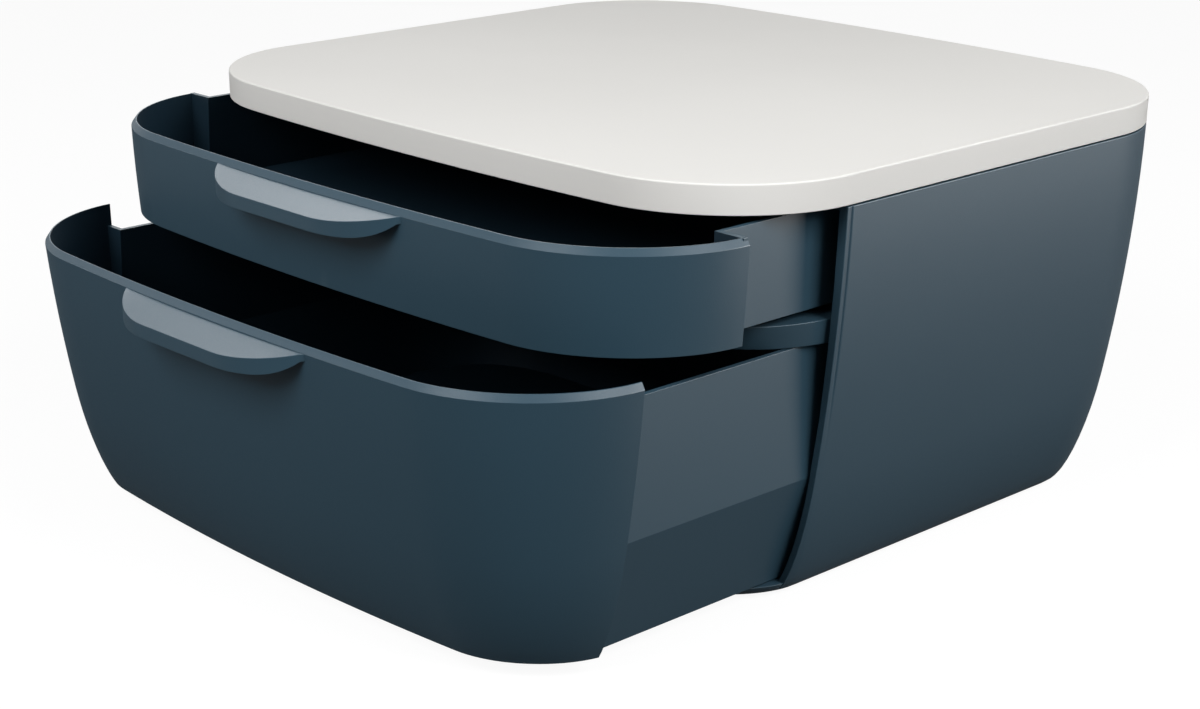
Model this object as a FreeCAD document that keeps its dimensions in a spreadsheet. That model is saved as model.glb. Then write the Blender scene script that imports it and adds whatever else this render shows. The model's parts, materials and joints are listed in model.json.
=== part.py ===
import FreeCAD, Part
import math
import os

# A desktop file box: a rounded casing with a pale top plate and two drawers that slide
# out of its front, modelled in millimetres. X is the object's right as seen from the
# front, the drawers open towards -Y, and Z = 0 is the table top under the rubber feet.
# Each drawer is modelled closed and then placed partly open.

# Driving dimensions: alias, value, meaning
SIZES = [
    ("width", 367, "across the top plate"),
    ("depth", 329.4, "front to back of the top plate"),
    ("base_z", 2, "underside of the casing"),
    ("floor_z", 6.4, "upper face of the casing's base"),
    ("casing_z", 172.2, "upper edge of the casing"),
    ("plate_z", 172.8, "underside of the top plate"),
    ("top_z", 185.5, "upper face of the top plate"),
    ("taper", 18.55, "how far the side draws in at the base, without the rounding"),
    ("taper_power", 1.946, "how much of the taper sits near the base"),
    ("front_taper", 1.204, "taper of the front over that of the side"),
    ("back_taper", 1.247, "taper of the back over that of the side"),
    ("roll_in", 8.45, "how far the rounded base edge draws in"),
    ("roll_rise", 51.2, "height of the rounded base edge"),
    ("corner", 65.3, "size of the plan corners at the top"),
    ("corner_loss", 0.96, "corner size lost for each millimetre drawn in"),
    ("corner_hold", 0.536, "how far the corner curve keeps to its two tangents"),
    ("corner_inset", 0.7, "corner size lost for each millimetre of inset"),
    ("inner_hold", 0.72, "the same hold for the shelf and the drawers' back corners"),
    ("bow", 9.45, "how far the front and back edges fall back at the sides"),
    ("wall", 2.6, "casing wall"),
    ("edge_wall", 4.4, "casing wall at its front edge, at the top"),
    ("edge_low", 3.1, "the same below the height where it starts to thicken"),
    ("edge_fade_z", 80, "height where the front edge starts to thicken"),
    ("edge_depth", 4, "depth of that thicker edge"),
    ("flange", 10.5, "width of the casing's upper flange, from its outer face"),
    ("flange_thick", 2, "thickness of the casing's upper flange"),
    ("part_top_y", 92.9, "distance of the casing's front edge from the middle, at the top"),
    ("part_low_y", 96.8, "the same at the base"),
    ("part_gap", 0.5, "gap between a closed drawer's wrap and the casing edge"),
    ("groove_back", 2.2, "groove behind the casing's front edge"),
    ("groove_width", 0.8, "width of that groove"),
    ("groove_deep", 0.6, "depth of that groove"),
    ("groove_z", 78, "height where that groove runs out"),
    ("lip_round", 1.3, "rounding of the top plate's upper edge"),
    ("lip_break", 0.4, "broken lower edge of the top plate"),
    ("skirt", 3, "side wall of the top plate"),
    ("plate_thick", 2.8, "upper wall of the top plate"),
    ("rib", 1.6, "rib thickness under the top plate"),
    ("rib_pitch", 72, "rib spacing under the top plate"),
    ("frame_fit", 0.3, "gap round the top frame"),
    ("frame_rim", 1.8, "thickness of the top frame's rim"),
    ("pan_inset", 14.5, "inset of the top frame's pan"),
    ("pan_z", 170.3, "underside of the top frame's pan"),
    ("pan_wall", 2, "thickness of the top frame's pan"),
    ("boss", 4.4, "radius of a screw boss"),
    ("side_screw_x", 176.3, "top screws beside the drawers, across"),
    ("side_screw_y", 64, "the same, front to back"),
    ("back_screw_x", 60, "top screws at the back, across"),
    ("back_screw_y", 157, "the same, front to back"),
    ("screw_head", 3.1, "screw head radius"),
    ("screw_head_high", 1.9, "screw head height"),
    ("screw_shank", 1.5, "screw shank radius"),
    ("screw_long", 11, "screw shank length"),
    ("screw_slot", 1, "width of the cross in a screw head"),
    ("slot_share", 0.62, "reach of that cross over the head's radius"),
    ("slot_deep", 1, "depth of that cross"),
    ("screw_fit", 0.05, "radial gap round a screw shank"),
    ("shelf_z", 114.3, "underside of the middle shelf"),
    ("shelf_top_z", 124.9, "upper face of the middle shelf"),
    ("shelf_x", 177, "half width of the middle shelf"),
    ("shelf_front", 150, "front edge of the middle shelf from the middle"),
    ("shelf_back", 150, "back edge of the middle shelf from the middle"),
    ("shelf_slant", 5, "how far the shelf's front edge slants in to its underside"),
    ("shelf_corner", 75, "size of the shelf's plan corners"),
    ("shelf_thick", 2.6, "upper wall of the shelf"),
    ("shelf_skirt", 2.4, "edge wall of the shelf"),
    ("shelf_rib_x", 168.4, "outer ribs of the shelf, over the lower drawer's side walls"),
    ("rail_x", 110, "slide rails, across"),
    ("rail_width", 6, "slide rail width"),
    ("rail_front", 84, "front end of a slide rail from the middle"),
    ("rail_back", 100, "back end of a slide rail from the middle"),
    ("rail_gap", 0.3, "gap between a slide rail and the drawer on it"),
    ("guide_width", 2.5, "guide rib width"),
    ("guide_gap", 0.9, "gap between a shelf guide and the upper drawer"),
    ("base_guide_gap", 2.5, "gap between a base guide and the lower drawer's floor"),
    ("base_guide_back", 68, "back end of a base guide from the middle"),
    ("guide_high", 4, "guide rib height above the face it stands on"),
    ("rooted", 0.5, "how deep ribs and rails run into the face they stand on"),
    ("ledge_x", 170.6, "inner face of the casing's shelf ledges"),
    ("ledge_thick", 5.5, "thickness of the casing's shelf ledges"),
    ("ledge_front", 80, "front end of a side ledge from the middle"),
    ("ledge_back", 86, "back end of a side ledge from the middle"),
    ("ledge_rear_y", 141, "front face of the rear ledge"),
    ("ledge_rear_x", 80, "half width of the rear ledge"),
    ("shelf_screw_x", 60, "spacing of the shelf screws along the back"),
    ("shelf_screw_y", 145.4, "shelf screws from the middle, front to back"),
    ("ledge_boss_high", 8, "height of a screw boss under the rear ledge"),
    ("cross_rib_y", 40, "cross rib under the shelf"),
    ("drawer_x", 169.4, "half width of a drawer's body"),
    ("drawer_wall", 2.5, "side and back wall of a drawer"),
    ("front_wall", 2.4, "front wall of a drawer"),
    ("drawer_floor", 2.6, "floor of a drawer"),
    ("rim_drop", 2.8, "height of the bevel round a drawer's rim"),
    ("rim_in", 1.9, "width of that bevel"),
    ("upper_z", 127.1, "underside of the upper drawer"),
    ("upper_rim_z", 169.9, "rim of the upper drawer"),
    ("upper_back", 147.4, "back of the closed upper drawer from the middle"),
    ("upper_join", 110, "where the upper drawer's body starts inside its front"),
    ("upper_corner", 70, "size of the upper drawer's back corners"),
    ("upper_step", 1.4, "how much higher the upper drawer's body underside is"),
    ("upper_pull", 55.2, "how far the upper drawer is open"),
    ("lower_z", 7.2, "underside of the lower drawer"),
    ("lower_rim_z", 124.1, "front rim of the lower drawer"),
    ("lower_side_z", 114.0, "upper edge of the lower drawer's side and back walls"),
    ("crease_z", 56, "height where the lower drawer's walls start to slant in"),
    ("lower_x", 155, "half width of the lower drawer's body at its floor"),
    ("lower_back", 138, "back of the closed lower drawer, above the slant"),
    ("lower_low_back", 120, "the same at its floor"),
    ("lower_join", 101, "where the lower drawer's body starts inside its front"),
    ("lower_corner", 72, "size of the lower drawer's back corners, above the slant"),
    ("lower_low_corner", 66, "the same at its floor"),
    ("lower_pull", 106.6, "how far the lower drawer is open"),
    ("travel", 210, "travel of a drawer from closed to its stops"),
    ("handle_half", 62, "half length of a handle"),
    ("handle_flat", 24, "half length of its straight part"),
    ("handle_bend", 40, "where its end curve starts to turn back"),
    ("handle_turn", 54, "where its end curve heads for the wall"),
    ("handle_turn_out", 8, "how far out that place is"),
    ("handle_out", 16.5, "how far a handle stands out"),
    ("handle_below", 2.9, "how far its top is below the rim at the wall"),
    ("handle_fall", 4.1, "how far its top falls outwards"),
    ("handle_lip", 6, "height of its outer lip"),
    ("handle_thick", 2.6, "thickness of the ledge behind the lip"),
    ("handle_edge", 2.4, "width of the lip"),
    ("handle_root", 2, "how far the ledge runs into the wall"),
    ("stop_x", 70, "middle of a drawer stop, across"),
    ("stop_width", 26, "width of a drawer stop"),
    ("stop_thick", 3, "thickness of a drawer stop"),
    ("stop_gap", 0.3, "gap left at full travel"),
    ("upper_stop_drop", 9.6, "how far an upper stop hangs below the pan"),
    ("lower_stop_drop", 9.8, "how far a lower stop hangs below the shelf"),
    ("peg", 2, "radius of a lower stop's pegs"),
    ("upper_peg", 1.4, "radius of an upper stop's pegs"),
    ("peg_fit", 0.1, "radial gap round a peg"),
    ("peg_spread", 8, "peg distance from a stop's middle"),
    ("peg_rise", 3.8, "height of a lower stop's pegs above the shelf's underside"),
    ("shelf_rib", 2.4, "thickness of the shelf's ribs"),
    ("foot_radius", 8, "radius of a rubber foot"),
    ("foot_fit", 0.15, "radial gap round a foot"),
    ("foot_sunk", 0.6, "how deep a foot sits in the base"),
    ("foot_x", 118, "feet, across"),
    ("foot_y", 88, "feet, front to back"),
    ("over", 1, "how far cutting shapes run past the faces they cut"),
    ("reach", 400, "length of a cutting block, longer than the object"),
]

doc = FreeCAD.newDocument("file_box")
sheet = doc.addObject("Spreadsheet::Sheet", "Size")


def fill_sheet():
    """Write every driving dimension into the sheet with its alias."""
    for row, (alias, number, meaning) in enumerate(SIZES, 1):
        sheet.set(f"A{row}", alias.replace("_", " "))
        sheet.set(f"B{row}", str(number))
        sheet.set(f"C{row}", meaning)
        sheet.setAlias(f"B{row}", alias)
    doc.recompute()


fill_sheet()


def size(alias):
    """A driving dimension, for the shapes that are worked out by formula."""
    return float(sheet.get(alias))


# Building blocks: document objects bound to the sheet

def solid(name, shape):
    """A shape that no primitive gives, kept as a document object."""
    item = doc.addObject("Part::Feature", name)
    item.Shape = shape
    return item


def bind(item, **formulas):
    """Tie properties of a document object to the sheet."""
    for name, formula in formulas.items():
        item.setExpression(name.replace("_at_", "Placement.Base."), formula)
    return item


def box(name, spans):
    """A block between two formulas along each of X, Y and Z."""
    item = doc.addObject("Part::Box", name)
    for axis, side, (low, high) in zip("xyz", ("Length", "Width", "Height"), spans):
        item.setExpression(f"Placement.Base.{axis}", low)
        item.setExpression(side, f"({high}) - ({low})")
    return item


def post(name, place, radius, low, high):
    """An upright cylinder between two heights."""
    item = doc.addObject("Part::Cylinder", name)
    return bind(item, Radius=radius, Height=f"({high}) - ({low})",
                _at_x=place[0], _at_y=place[1], _at_z=low)


def cut(name, base, tool):
    item = doc.addObject("Part::Cut", name)
    item.Base = base
    item.Tool = tool
    return item


def cut_all(name, base, tools):
    """The base less each tool in turn; only the last step carries the name."""
    for number, tool in enumerate(tools[:-1], 1):
        base = cut(f"{name}_less_{number}", base, tool)
    return cut(name, base, tools[-1])


def fuse(name, items):
    """One body from several; seams between their faces stay, since merging lofted faces can spoil them."""
    item = doc.addObject("Part::MultiFuse", name)
    item.Shapes = items
    item.Refine = False
    return item


def common(name, first, second):
    item = doc.addObject("Part::Common", name)
    item.Base = first
    item.Tool = second
    return item


def group(name, items):
    item = doc.addObject("Part::Compound", name)
    item.Links = items
    return item


# The outer form: a rounded square in plan that draws in towards a rounded base

def taper_at(z):
    """How far the side wall has drawn in at a height, without the rounded base."""
    rise = (z - size("base_z")) / (size("top_z") - size("base_z"))
    return size("taper") * (1 - rise) ** size("taper_power")


def roll_at(z):
    """How far the rounded base edge draws in at a height."""
    part = 1 - min(1, (z - size("base_z")) / size("roll_rise"))
    return size("roll_in") * (1 - math.sqrt(1 - part ** 2))


def soft_corner(start, meet, end, hold):
    """A corner curve whose two end tangents cross at meet and that keeps to them for a while."""
    curve = Part.BezierCurve()
    curve.setPoles([start, start + (meet - start) * hold, end + (meet - end) * hold, end])
    return curve.toShape()


def rounded_plan(z, half_x, front, back, corner, hold):
    """The plan outline at a height: bowed front and back, straight sides, soft corners."""
    bow = size("bow")
    inner_x = half_x - corner
    sag = bow * (inner_x / half_x) ** 2
    slope = 2 * bow * inner_x / half_x ** 2
    edges = []
    side_ends = {}
    for side, reach in ((-1, front), (1, back)):
        middle = FreeCAD.Vector(0, side * reach, z)
        near = {}
        for way in (-1, 1):
            near[way] = FreeCAD.Vector(way * inner_x, side * (reach - sag), z)
            meet = FreeCAD.Vector(way * half_x, side * (reach - sag - slope * corner), z)
            far = FreeCAD.Vector(way * half_x, side * (reach - corner) * (1 - bow / reach), z)
            edges.append(soft_corner(near[way], meet, far, hold))
            side_ends[side, way] = far
        edges.append(Part.Arc(near[-1], middle, near[1]).toShape())
    for way in (-1, 1):
        edges.append(Part.makeLine(side_ends[-1, way], side_ends[1, way]))
    return Part.Wire(Part.__sortEdges__(edges))


def outline(z, inset=0.0):
    """The outer form's outline at a height, drawn in by an inset."""
    taper = taper_at(z)
    roll = roll_at(z)
    draw_in = taper + roll
    return rounded_plan(
        z,
        size("width") / 2 - draw_in - inset,
        size("depth") / 2 - size("front_taper") * taper - roll - inset,
        size("depth") / 2 - size("back_taper") * taper - roll - inset,
        size("corner") - size("corner_loss") * draw_in - size("corner_inset") * inset,
        size("corner_hold"))


def levels():
    """Heights of the outer form's sections, closer together in the rounded base."""
    low = size("base_z")
    rise = size("roll_rise")
    upper = size("top_z") - low - rise
    turns = [low + rise * (1 - math.cos(math.radians(angle))) for angle in (0, 15, 30, 45, 60, 75, 90)]
    return turns + [low + rise + upper * step / 6 for step in range(1, 7)]


def form(name, inset=0.0):
    """The outer form from the base to the top, drawn in by an inset or by a function of height."""
    inset_at = inset if callable(inset) else lambda z: inset
    return solid(name, Part.makeLoft([outline(z, inset_at(z)) for z in levels()], True, False))


def slice_of(name, inset, low, high):
    """A level slice of the form near the top, where its walls are almost upright."""
    return solid(name, Part.makeLoft([outline(low, inset), outline(high, inset)], True, True))


def across(name, points):
    """A block across the whole width, from its outline of (y, z) points."""
    reach = size("reach")
    corners = [FreeCAD.Vector(-reach, y, z) for y, z in points + points[:1]]
    face = Part.Face(Part.makePolygon(corners))
    return solid(name, face.extrude(FreeCAD.Vector(2 * reach, 0, 0)))


def part_y(z):
    """Y of the slanted plane where the closed drawer fronts meet the casing."""
    rise = (z - size("base_z")) / (size("casing_z") - size("base_z"))
    return -size("part_low_y") + (size("part_low_y") - size("part_top_y")) * rise


def ahead(name, low, high, shift=0.0):
    """Everything in front of the slanted plane, moved back by shift, between two heights."""
    reach = -size("reach")
    return across(name, [(reach, low), (part_y(low) + shift, low),
                         (part_y(high) + shift, high), (reach, high)])


def behind(name, low, high, shift, depth):
    """A layer behind the slanted plane, between two heights."""
    return across(name, [(part_y(low) + shift, low), (part_y(low) + shift + depth, low),
                         (part_y(high) + shift + depth, high), (part_y(high) + shift, high)])


# Casing

def edge_wall_at(z):
    """The casing wall at its front edge, which thickens towards the top."""
    rise = max(0, (z - size("edge_fade_z")) / (size("casing_z") - size("edge_fade_z")))
    return size("edge_low") + (size("edge_wall") - size("edge_low")) * rise


def casing_shell():
    """Sides, back and base in one moulding, open at the front and the top."""
    body = common("casing_block", form("casing_form"),
                  box("casing_height", [("-Size.reach", "Size.reach"), ("-Size.reach", "Size.reach"),
                                        ("Size.base_z", "Size.casing_z")]))
    room = common("casing_room", form("casing_inner", size("wall")),
                  behind("casing_room_span", size("floor_z"), size("casing_z") - size("flange_thick"),
                         size("edge_depth"), size("reach")))
    mouth = common("casing_mouth", form("casing_edge", edge_wall_at),
                   behind("casing_mouth_span", size("floor_z"), size("casing_z"),
                          -size("over"), size("edge_depth") + 2 * size("over")))
    hatch = slice_of("casing_top_opening", size("flange"),
                     size("casing_z") - size("flange_thick") - size("over"), size("casing_z") + size("over"))
    front = ahead("casing_front", size("floor_z"), size("casing_z") + size("over"))
    return cut_all("casing_shell", body, [room, mouth, hatch, front])


def casing_groove():
    """A fine groove round the casing just behind its front edge."""
    skin = cut("groove_skin", form("groove_outer", -size("over")), form("groove_inner", size("groove_deep")))
    return common("casing_groove", skin,
                  behind("groove_span", size("groove_z"), size("casing_z") + size("over"),
                         size("groove_back"), size("groove_width")))


def side_pair(name, inner, outer, y_span, z_span):
    """The same block on the left and on the right."""
    right = box(name + "_right", [(inner, outer), y_span, z_span])
    left = box(name + "_left", [(f"-({outer})", f"-({inner})"), y_span, z_span])
    return [left, right]


def casing():
    """The casing with its slide rails, guide ribs, shelf ledges and foot recesses."""
    rails = side_pair("base_rail", "Size.rail_x - Size.rail_width / 2", "Size.rail_x + Size.rail_width / 2",
                      ("-Size.rail_front", "Size.rail_back"),
                      ("Size.floor_z - Size.rooted", "Size.lower_z - Size.rail_gap"))
    guides = side_pair("base_guide", "Size.lower_x + Size.base_guide_gap",
                       "Size.lower_x + Size.base_guide_gap + Size.guide_width",
                       ("-Size.rail_front", "Size.base_guide_back"),
                       ("Size.floor_z - Size.rooted", "Size.floor_z + Size.guide_high"))
    ledge_z = ("Size.shelf_z - Size.ledge_thick", "Size.shelf_z")
    ledges = side_pair("side_ledge", "Size.ledge_x", "Size.width / 2",
                       ("-Size.ledge_front", "Size.ledge_back"), ledge_z)
    rear = box("rear_ledge", [("-Size.ledge_rear_x", "Size.ledge_rear_x"),
                              ("Size.ledge_rear_y", "Size.depth / 2"), ledge_z])
    bosses = []
    pilots = []
    for index, place in enumerate(shelf_screw_places()):
        bosses.append(post(f"ledge_boss_{index}", place, "Size.boss",
                           "Size.shelf_z - Size.ledge_boss_high", "Size.shelf_z - Size.over"))
        pilots.append(post(f"ledge_pilot_{index}", place, "Size.screw_shank + Size.screw_fit",
                           "Size.shelf_z - Size.screw_long", "Size.shelf_z + Size.over"))
    inside = common("casing_fittings", fuse("casing_blocks", rails + guides + ledges + [rear] + bosses),
                    form("casing_middle", size("wall") / 2))
    body = fuse("casing_body", [casing_shell(), inside])
    holes = [casing_groove()] + pilots
    for index, place in enumerate(top_screw_places()):
        holes.append(post(f"flange_hole_{index}", place, "Size.screw_shank + Size.screw_fit",
                          "Size.casing_z - Size.flange_thick - Size.over", "Size.casing_z + Size.over"))
    for name, place in foot_places().items():
        holes.append(post(f"{name}_recess", place, "Size.foot_radius + Size.foot_fit",
                          "Size.base_z - Size.over", "Size.base_z + Size.foot_sunk"))
    return cut("casing", body, fuse("casing_holes", holes))


# Top plate and the frame under it

def top_screw_places():
    """Centres of the screws that hold the top plate, as formulas."""
    places = [(f"{side} * Size.side_screw_x", f"{way} * Size.side_screw_y")
              for side in (-1, 1) for way in (-1, 1)]
    return places + [(f"{side} * Size.back_screw_x", "Size.back_screw_y") for side in (-1, 1)]


def plate_block():
    """The outside of the top plate, with a rounded upper and a broken lower edge."""
    low = size("plate_z")
    high = size("top_z")
    turn = size("lip_round")
    small = size("lip_break")
    sections = [outline(low, small), outline(low + small)]
    for angle in (0, 30, 60, 90):
        bend = math.radians(angle)
        sections.append(outline(high - turn * (1 - math.sin(bend)), turn * (1 - math.cos(bend))))
    return solid("plate_block", Part.makeLoft(sections, True, True))


def top_plate():
    """The pale top: a shallow shell with ribs and screw bosses underneath."""
    room = slice_of("plate_room", size("skirt"),
                    size("plate_z") - size("over"), size("top_z") - size("plate_thick"))
    shell = cut("plate_shell", plate_block(), room)
    rib_low = "Size.plate_z + Size.frame_rim + Size.frame_fit"
    rib_high = "Size.top_z - Size.plate_thick + Size.rooted"
    ribs = []
    for step in range(-2, 3):
        span = (f"{step} * Size.rib_pitch - Size.rib / 2", f"{step} * Size.rib_pitch + Size.rib / 2")
        ribs.append(box(f"plate_rib_{step + 3}",
                        [span, ("-Size.depth / 2", "Size.depth / 2"), (rib_low, rib_high)]))
        if abs(step) < 2:
            ribs.append(box(f"plate_cross_rib_{step + 2}",
                            [("-Size.width / 2", "Size.width / 2"), span, (rib_low, rib_high)]))
    bosses = []
    pilots = []
    for index, place in enumerate(top_screw_places()):
        bosses.append(post(f"plate_boss_{index}", place, "Size.boss",
                           "Size.plate_z + Size.frame_rim", rib_high))
        pilots.append(post(f"plate_pilot_{index}", place, "Size.screw_shank + Size.screw_fit",
                           "Size.plate_z - Size.over",
                           "Size.casing_z - Size.flange_thick + Size.screw_long + Size.over"))
    inside = common("plate_fittings", fuse("plate_blocks", ribs + bosses),
                    slice_of("plate_middle", size("skirt") / 2, size("plate_z"), size("top_z") - size("over")))
    return cut("top_plate", fuse("plate_body", [shell, inside]), fuse("plate_pilots", pilots))


def top_frame():
    """The dark pan that closes the top plate from below and holds the upper drawer down."""
    rim = slice_of("frame_rim_block", size("skirt") + size("frame_fit"),
                   size("plate_z"), size("plate_z") + size("frame_rim"))
    pan = slice_of("frame_pan", size("pan_inset"), size("pan_z"), size("plate_z") + size("over"))
    room = slice_of("frame_room", size("pan_inset") + size("pan_wall"),
                    size("pan_z") + size("pan_wall"), size("top_z"))
    holes = []
    for index, place in enumerate(top_screw_places()):
        holes.append(post(f"frame_hole_{index}", place, "Size.screw_shank + Size.screw_fit",
                          "Size.plate_z - Size.over", "Size.plate_z + Size.frame_rim + Size.over"))
    for side in (-1, 1):
        for way in (-1, 1):
            place = (f"{side} * Size.stop_x + {way} * Size.peg_spread", UPPER_STOP_Y)
            holes.append(post(f"frame_peg_hole_{side + 1}{way + 1}", place, "Size.upper_peg + Size.peg_fit",
                              "Size.pan_z - Size.over", "Size.pan_z + Size.pan_wall + Size.over"))
    return cut("top_frame", fuse("frame_body", [rim, pan]), fuse("frame_holes", [room] + holes))


def screw(name, place, under_head, upwards):
    """A pan-head screw: its head's lower face at under_head, its shank upwards or downwards."""
    way = 1 if upwards else -1
    face = f"{under_head} - {way} * Size.screw_head_high"
    tip = f"{under_head} + {way} * Size.screw_long"
    inner = f"{under_head} - {way} * Size.screw_slot / 2"
    head_span = (face, under_head) if upwards else (under_head, face)
    shank_span = (inner, tip) if upwards else (tip, inner)
    head = post(name + "_head", place, "Size.screw_head", *head_span)
    shank = post(name + "_shank", place, "Size.screw_shank", *shank_span)
    depth = (f"{face} - Size.slot_deep", f"{face} + Size.slot_deep")
    long, short = ([(f"{middle} - {half}", f"{middle} + {half}") for middle in place]
                   for half in ("Size.screw_head * Size.slot_share", "Size.screw_slot / 2"))
    slots = [box(name + "_slot_x", [long[0], short[1], depth]),
             box(name + "_slot_y", [short[0], long[1], depth])]
    return cut(name, fuse(name + "_body", [head, shank]), fuse(name + "_cross", slots))


def top_screws():
    """Screws that run up through the casing flange and the frame into the top plate."""
    under = "Size.casing_z - Size.flange_thick"
    return group("top_screws", [screw(f"top_screw_{index}", place, under, True)
                                for index, place in enumerate(top_screw_places())])


# Middle shelf

def shelf_plan(z, inset, slant):
    """The shelf's outline, its front edge set back by the slant."""
    return rounded_plan(z, size("shelf_x") - inset, size("shelf_front") - slant - inset,
                        size("shelf_back") - inset, size("shelf_corner") - size("corner_inset") * inset,
                        size("inner_hold"))


def middle_shelf():
    """The shelf the upper drawer slides on, open underneath between its ribs."""
    low = size("shelf_z")
    high = size("shelf_top_z")
    slant = size("shelf_slant")
    block = solid("shelf_block", Part.makeLoft([shelf_plan(low, 0, slant), shelf_plan(high, 0, 0)], True, True))
    skirt = size("shelf_skirt")
    under = size("shelf_thick")
    room = solid("shelf_room", Part.makeLoft([shelf_plan(z, skirt, slant * (high - z) / (high - low))
                                              for z in (low - size("over"), high - under)], True, True))
    shell = cut("shelf_shell", block, room)
    rib_z = ("Size.shelf_z", "Size.shelf_top_z - Size.shelf_thick + Size.rooted")
    full_y = ("-Size.shelf_front", "Size.shelf_back")
    ribs = side_pair("shelf_side_rib", "Size.shelf_rib_x - Size.shelf_rib / 2",
                     "Size.shelf_rib_x + Size.shelf_rib / 2", full_y, rib_z)
    ribs += side_pair("shelf_long_rib", "Size.rail_x - Size.shelf_rib / 2",
                      "Size.rail_x + Size.shelf_rib / 2", full_y, rib_z)
    full_x = ("-Size.shelf_x", "Size.shelf_x")
    ribs.append(box("shelf_stop_rib",
                    [full_x, (f"{LOWER_STOP_FRONT} - Size.shelf_rib", LOWER_STOP_FRONT), rib_z]))
    ribs.append(box("shelf_cross_rib", [full_x, ("Size.cross_rib_y - Size.shelf_rib / 2",
                                                 "Size.cross_rib_y + Size.shelf_rib / 2"), rib_z]))
    bosses = []
    holes = []
    for index, place in enumerate(shelf_screw_places()):
        bosses.append(post(f"shelf_boss_{index}", place, "Size.boss",
                           "Size.shelf_z", "Size.shelf_top_z - Size.over"))
        holes.append(post(f"shelf_hole_{index}", place, "Size.screw_shank + Size.screw_fit",
                          "Size.shelf_z - Size.over", "Size.shelf_top_z + Size.over"))
    inside = common("shelf_fittings", fuse("shelf_blocks", ribs + bosses),
                    solid("shelf_middle", Part.makeLoft([shelf_plan(low, skirt / 2, slant),
                                                         shelf_plan(high, skirt / 2, 0)], True, True)))
    rails = side_pair("shelf_rail", "Size.rail_x - Size.rail_width / 2", "Size.rail_x + Size.rail_width / 2",
                      ("-Size.rail_front", "Size.rail_back"),
                      ("Size.shelf_top_z - Size.rooted", "Size.upper_z + Size.upper_step - Size.rail_gap"))
    guides = side_pair("shelf_guide", "Size.drawer_x + Size.guide_gap",
                       "Size.drawer_x + Size.guide_gap + Size.guide_width",
                       ("-Size.ledge_front", "Size.ledge_back"),
                       ("Size.shelf_top_z - Size.rooted", "Size.shelf_top_z + Size.guide_high"))
    for side in (-1, 1):
        for way in (-1, 1):
            peg = doc.addObject("Part::Cylinder", f"shelf_peg_hole_{side + 1}{way + 1}")
            peg.Placement.Rotation = FreeCAD.Rotation(FreeCAD.Vector(1, 0, 0), 90)
            bind(peg, Radius="Size.peg + Size.peg_fit", Height="Size.shelf_rib + 2",
                 _at_x=f"{side} * Size.stop_x + {way} * Size.peg_spread",
                 _at_y=f"{LOWER_STOP_FRONT} + Size.over", _at_z="Size.shelf_z + Size.peg_rise")
            holes.append(peg)
    body = fuse("shelf_body", [shell, inside] + rails + guides)
    return cut("middle_shelf", body, fuse("shelf_holes", holes))


def shelf_screw_places():
    """Centres of the screws that hold the shelf on the rear ledge, as formulas."""
    return [(f"{step} * Size.shelf_screw_x", "Size.shelf_screw_y") for step in (-1, 0, 1)]


def shelf_screws():
    """Screws that run down through the shelf into the casing's rear ledge."""
    return group("shelf_screws", [screw(f"shelf_screw_{index}", place, "Size.shelf_top_z", False)
                                  for index, place in enumerate(shelf_screw_places())])


# Drawer stops: small blades that catch a drawer's back wall at the end of its travel

UPPER_STOP_REAR = "Size.upper_back - Size.drawer_wall - Size.travel - Size.stop_gap"
UPPER_STOP_Y = f"{UPPER_STOP_REAR} - Size.stop_thick / 2"
LOWER_STOP_REAR = "Size.lower_back - Size.drawer_wall - Size.travel - Size.stop_gap"
LOWER_STOP_FRONT = f"{LOWER_STOP_REAR} - Size.stop_thick"


def stop_blade(name, side, rear, low, high):
    """The blade of a stop, its rear face towards the drawer's back wall."""
    middle = f"{side} * Size.stop_x"
    return box(name, [(f"{middle} - Size.stop_width / 2", f"{middle} + Size.stop_width / 2"),
                      (f"{rear} - Size.stop_thick", rear), (low, high)])


def upper_stop(name, side):
    """A stop under the top frame, held by two upright pegs."""
    parts = [stop_blade(name + "_blade", side, UPPER_STOP_REAR,
                        "Size.pan_z - Size.upper_stop_drop", "Size.pan_z")]
    for way in (-1, 1):
        place = (f"{side} * Size.stop_x + {way} * Size.peg_spread", UPPER_STOP_Y)
        parts.append(post(f"{name}_peg_{way + 1}", place, "Size.upper_peg",
                          "Size.pan_z - Size.over", "Size.pan_z + Size.pan_wall"))
    return fuse(name, parts)


def lower_stop(name, side):
    """A stop under the middle shelf, held on a cross rib by two level pegs."""
    parts = [stop_blade(name + "_blade", side, LOWER_STOP_REAR, "Size.shelf_z - Size.lower_stop_drop",
                        "Size.shelf_top_z - Size.shelf_thick - 0.2")]
    for way in (-1, 1):
        peg = doc.addObject("Part::Cylinder", f"{name}_peg_{way + 1}")
        peg.Placement.Rotation = FreeCAD.Rotation(FreeCAD.Vector(1, 0, 0), 90)
        bind(peg, Radius="Size.peg", Height="Size.shelf_rib + Size.over",
             _at_x=f"{side} * Size.stop_x + {way} * Size.peg_spread",
             _at_y=f"{LOWER_STOP_FRONT} + Size.over", _at_z="Size.shelf_z + Size.peg_rise")
        parts.append(peg)
    return fuse(name, parts)


# Drawers

def bevelled_front(name, low, rim):
    """The part of the outer form that a drawer front fills, with a bevelled rim."""
    block = common(name + "_front_block", form(name + "_front_form"),
                   ahead(name + "_front_span", low, rim, -size("part_gap")))
    over = size("over")
    slope = size("rim_in") / size("rim_drop")
    edge = rim - size("rim_drop")
    core = solid(name + "_bevel_core", Part.makeLoft([outline(edge - over, -over * slope),
                                                      outline(rim + over, size("rim_in") + over * slope)],
                                                     True, True))
    layer = ahead(name + "_bevel_layer", edge - over, rim + over, over)
    return cut(name + "_front", block, cut(name + "_bevel", layer, core))


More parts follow.
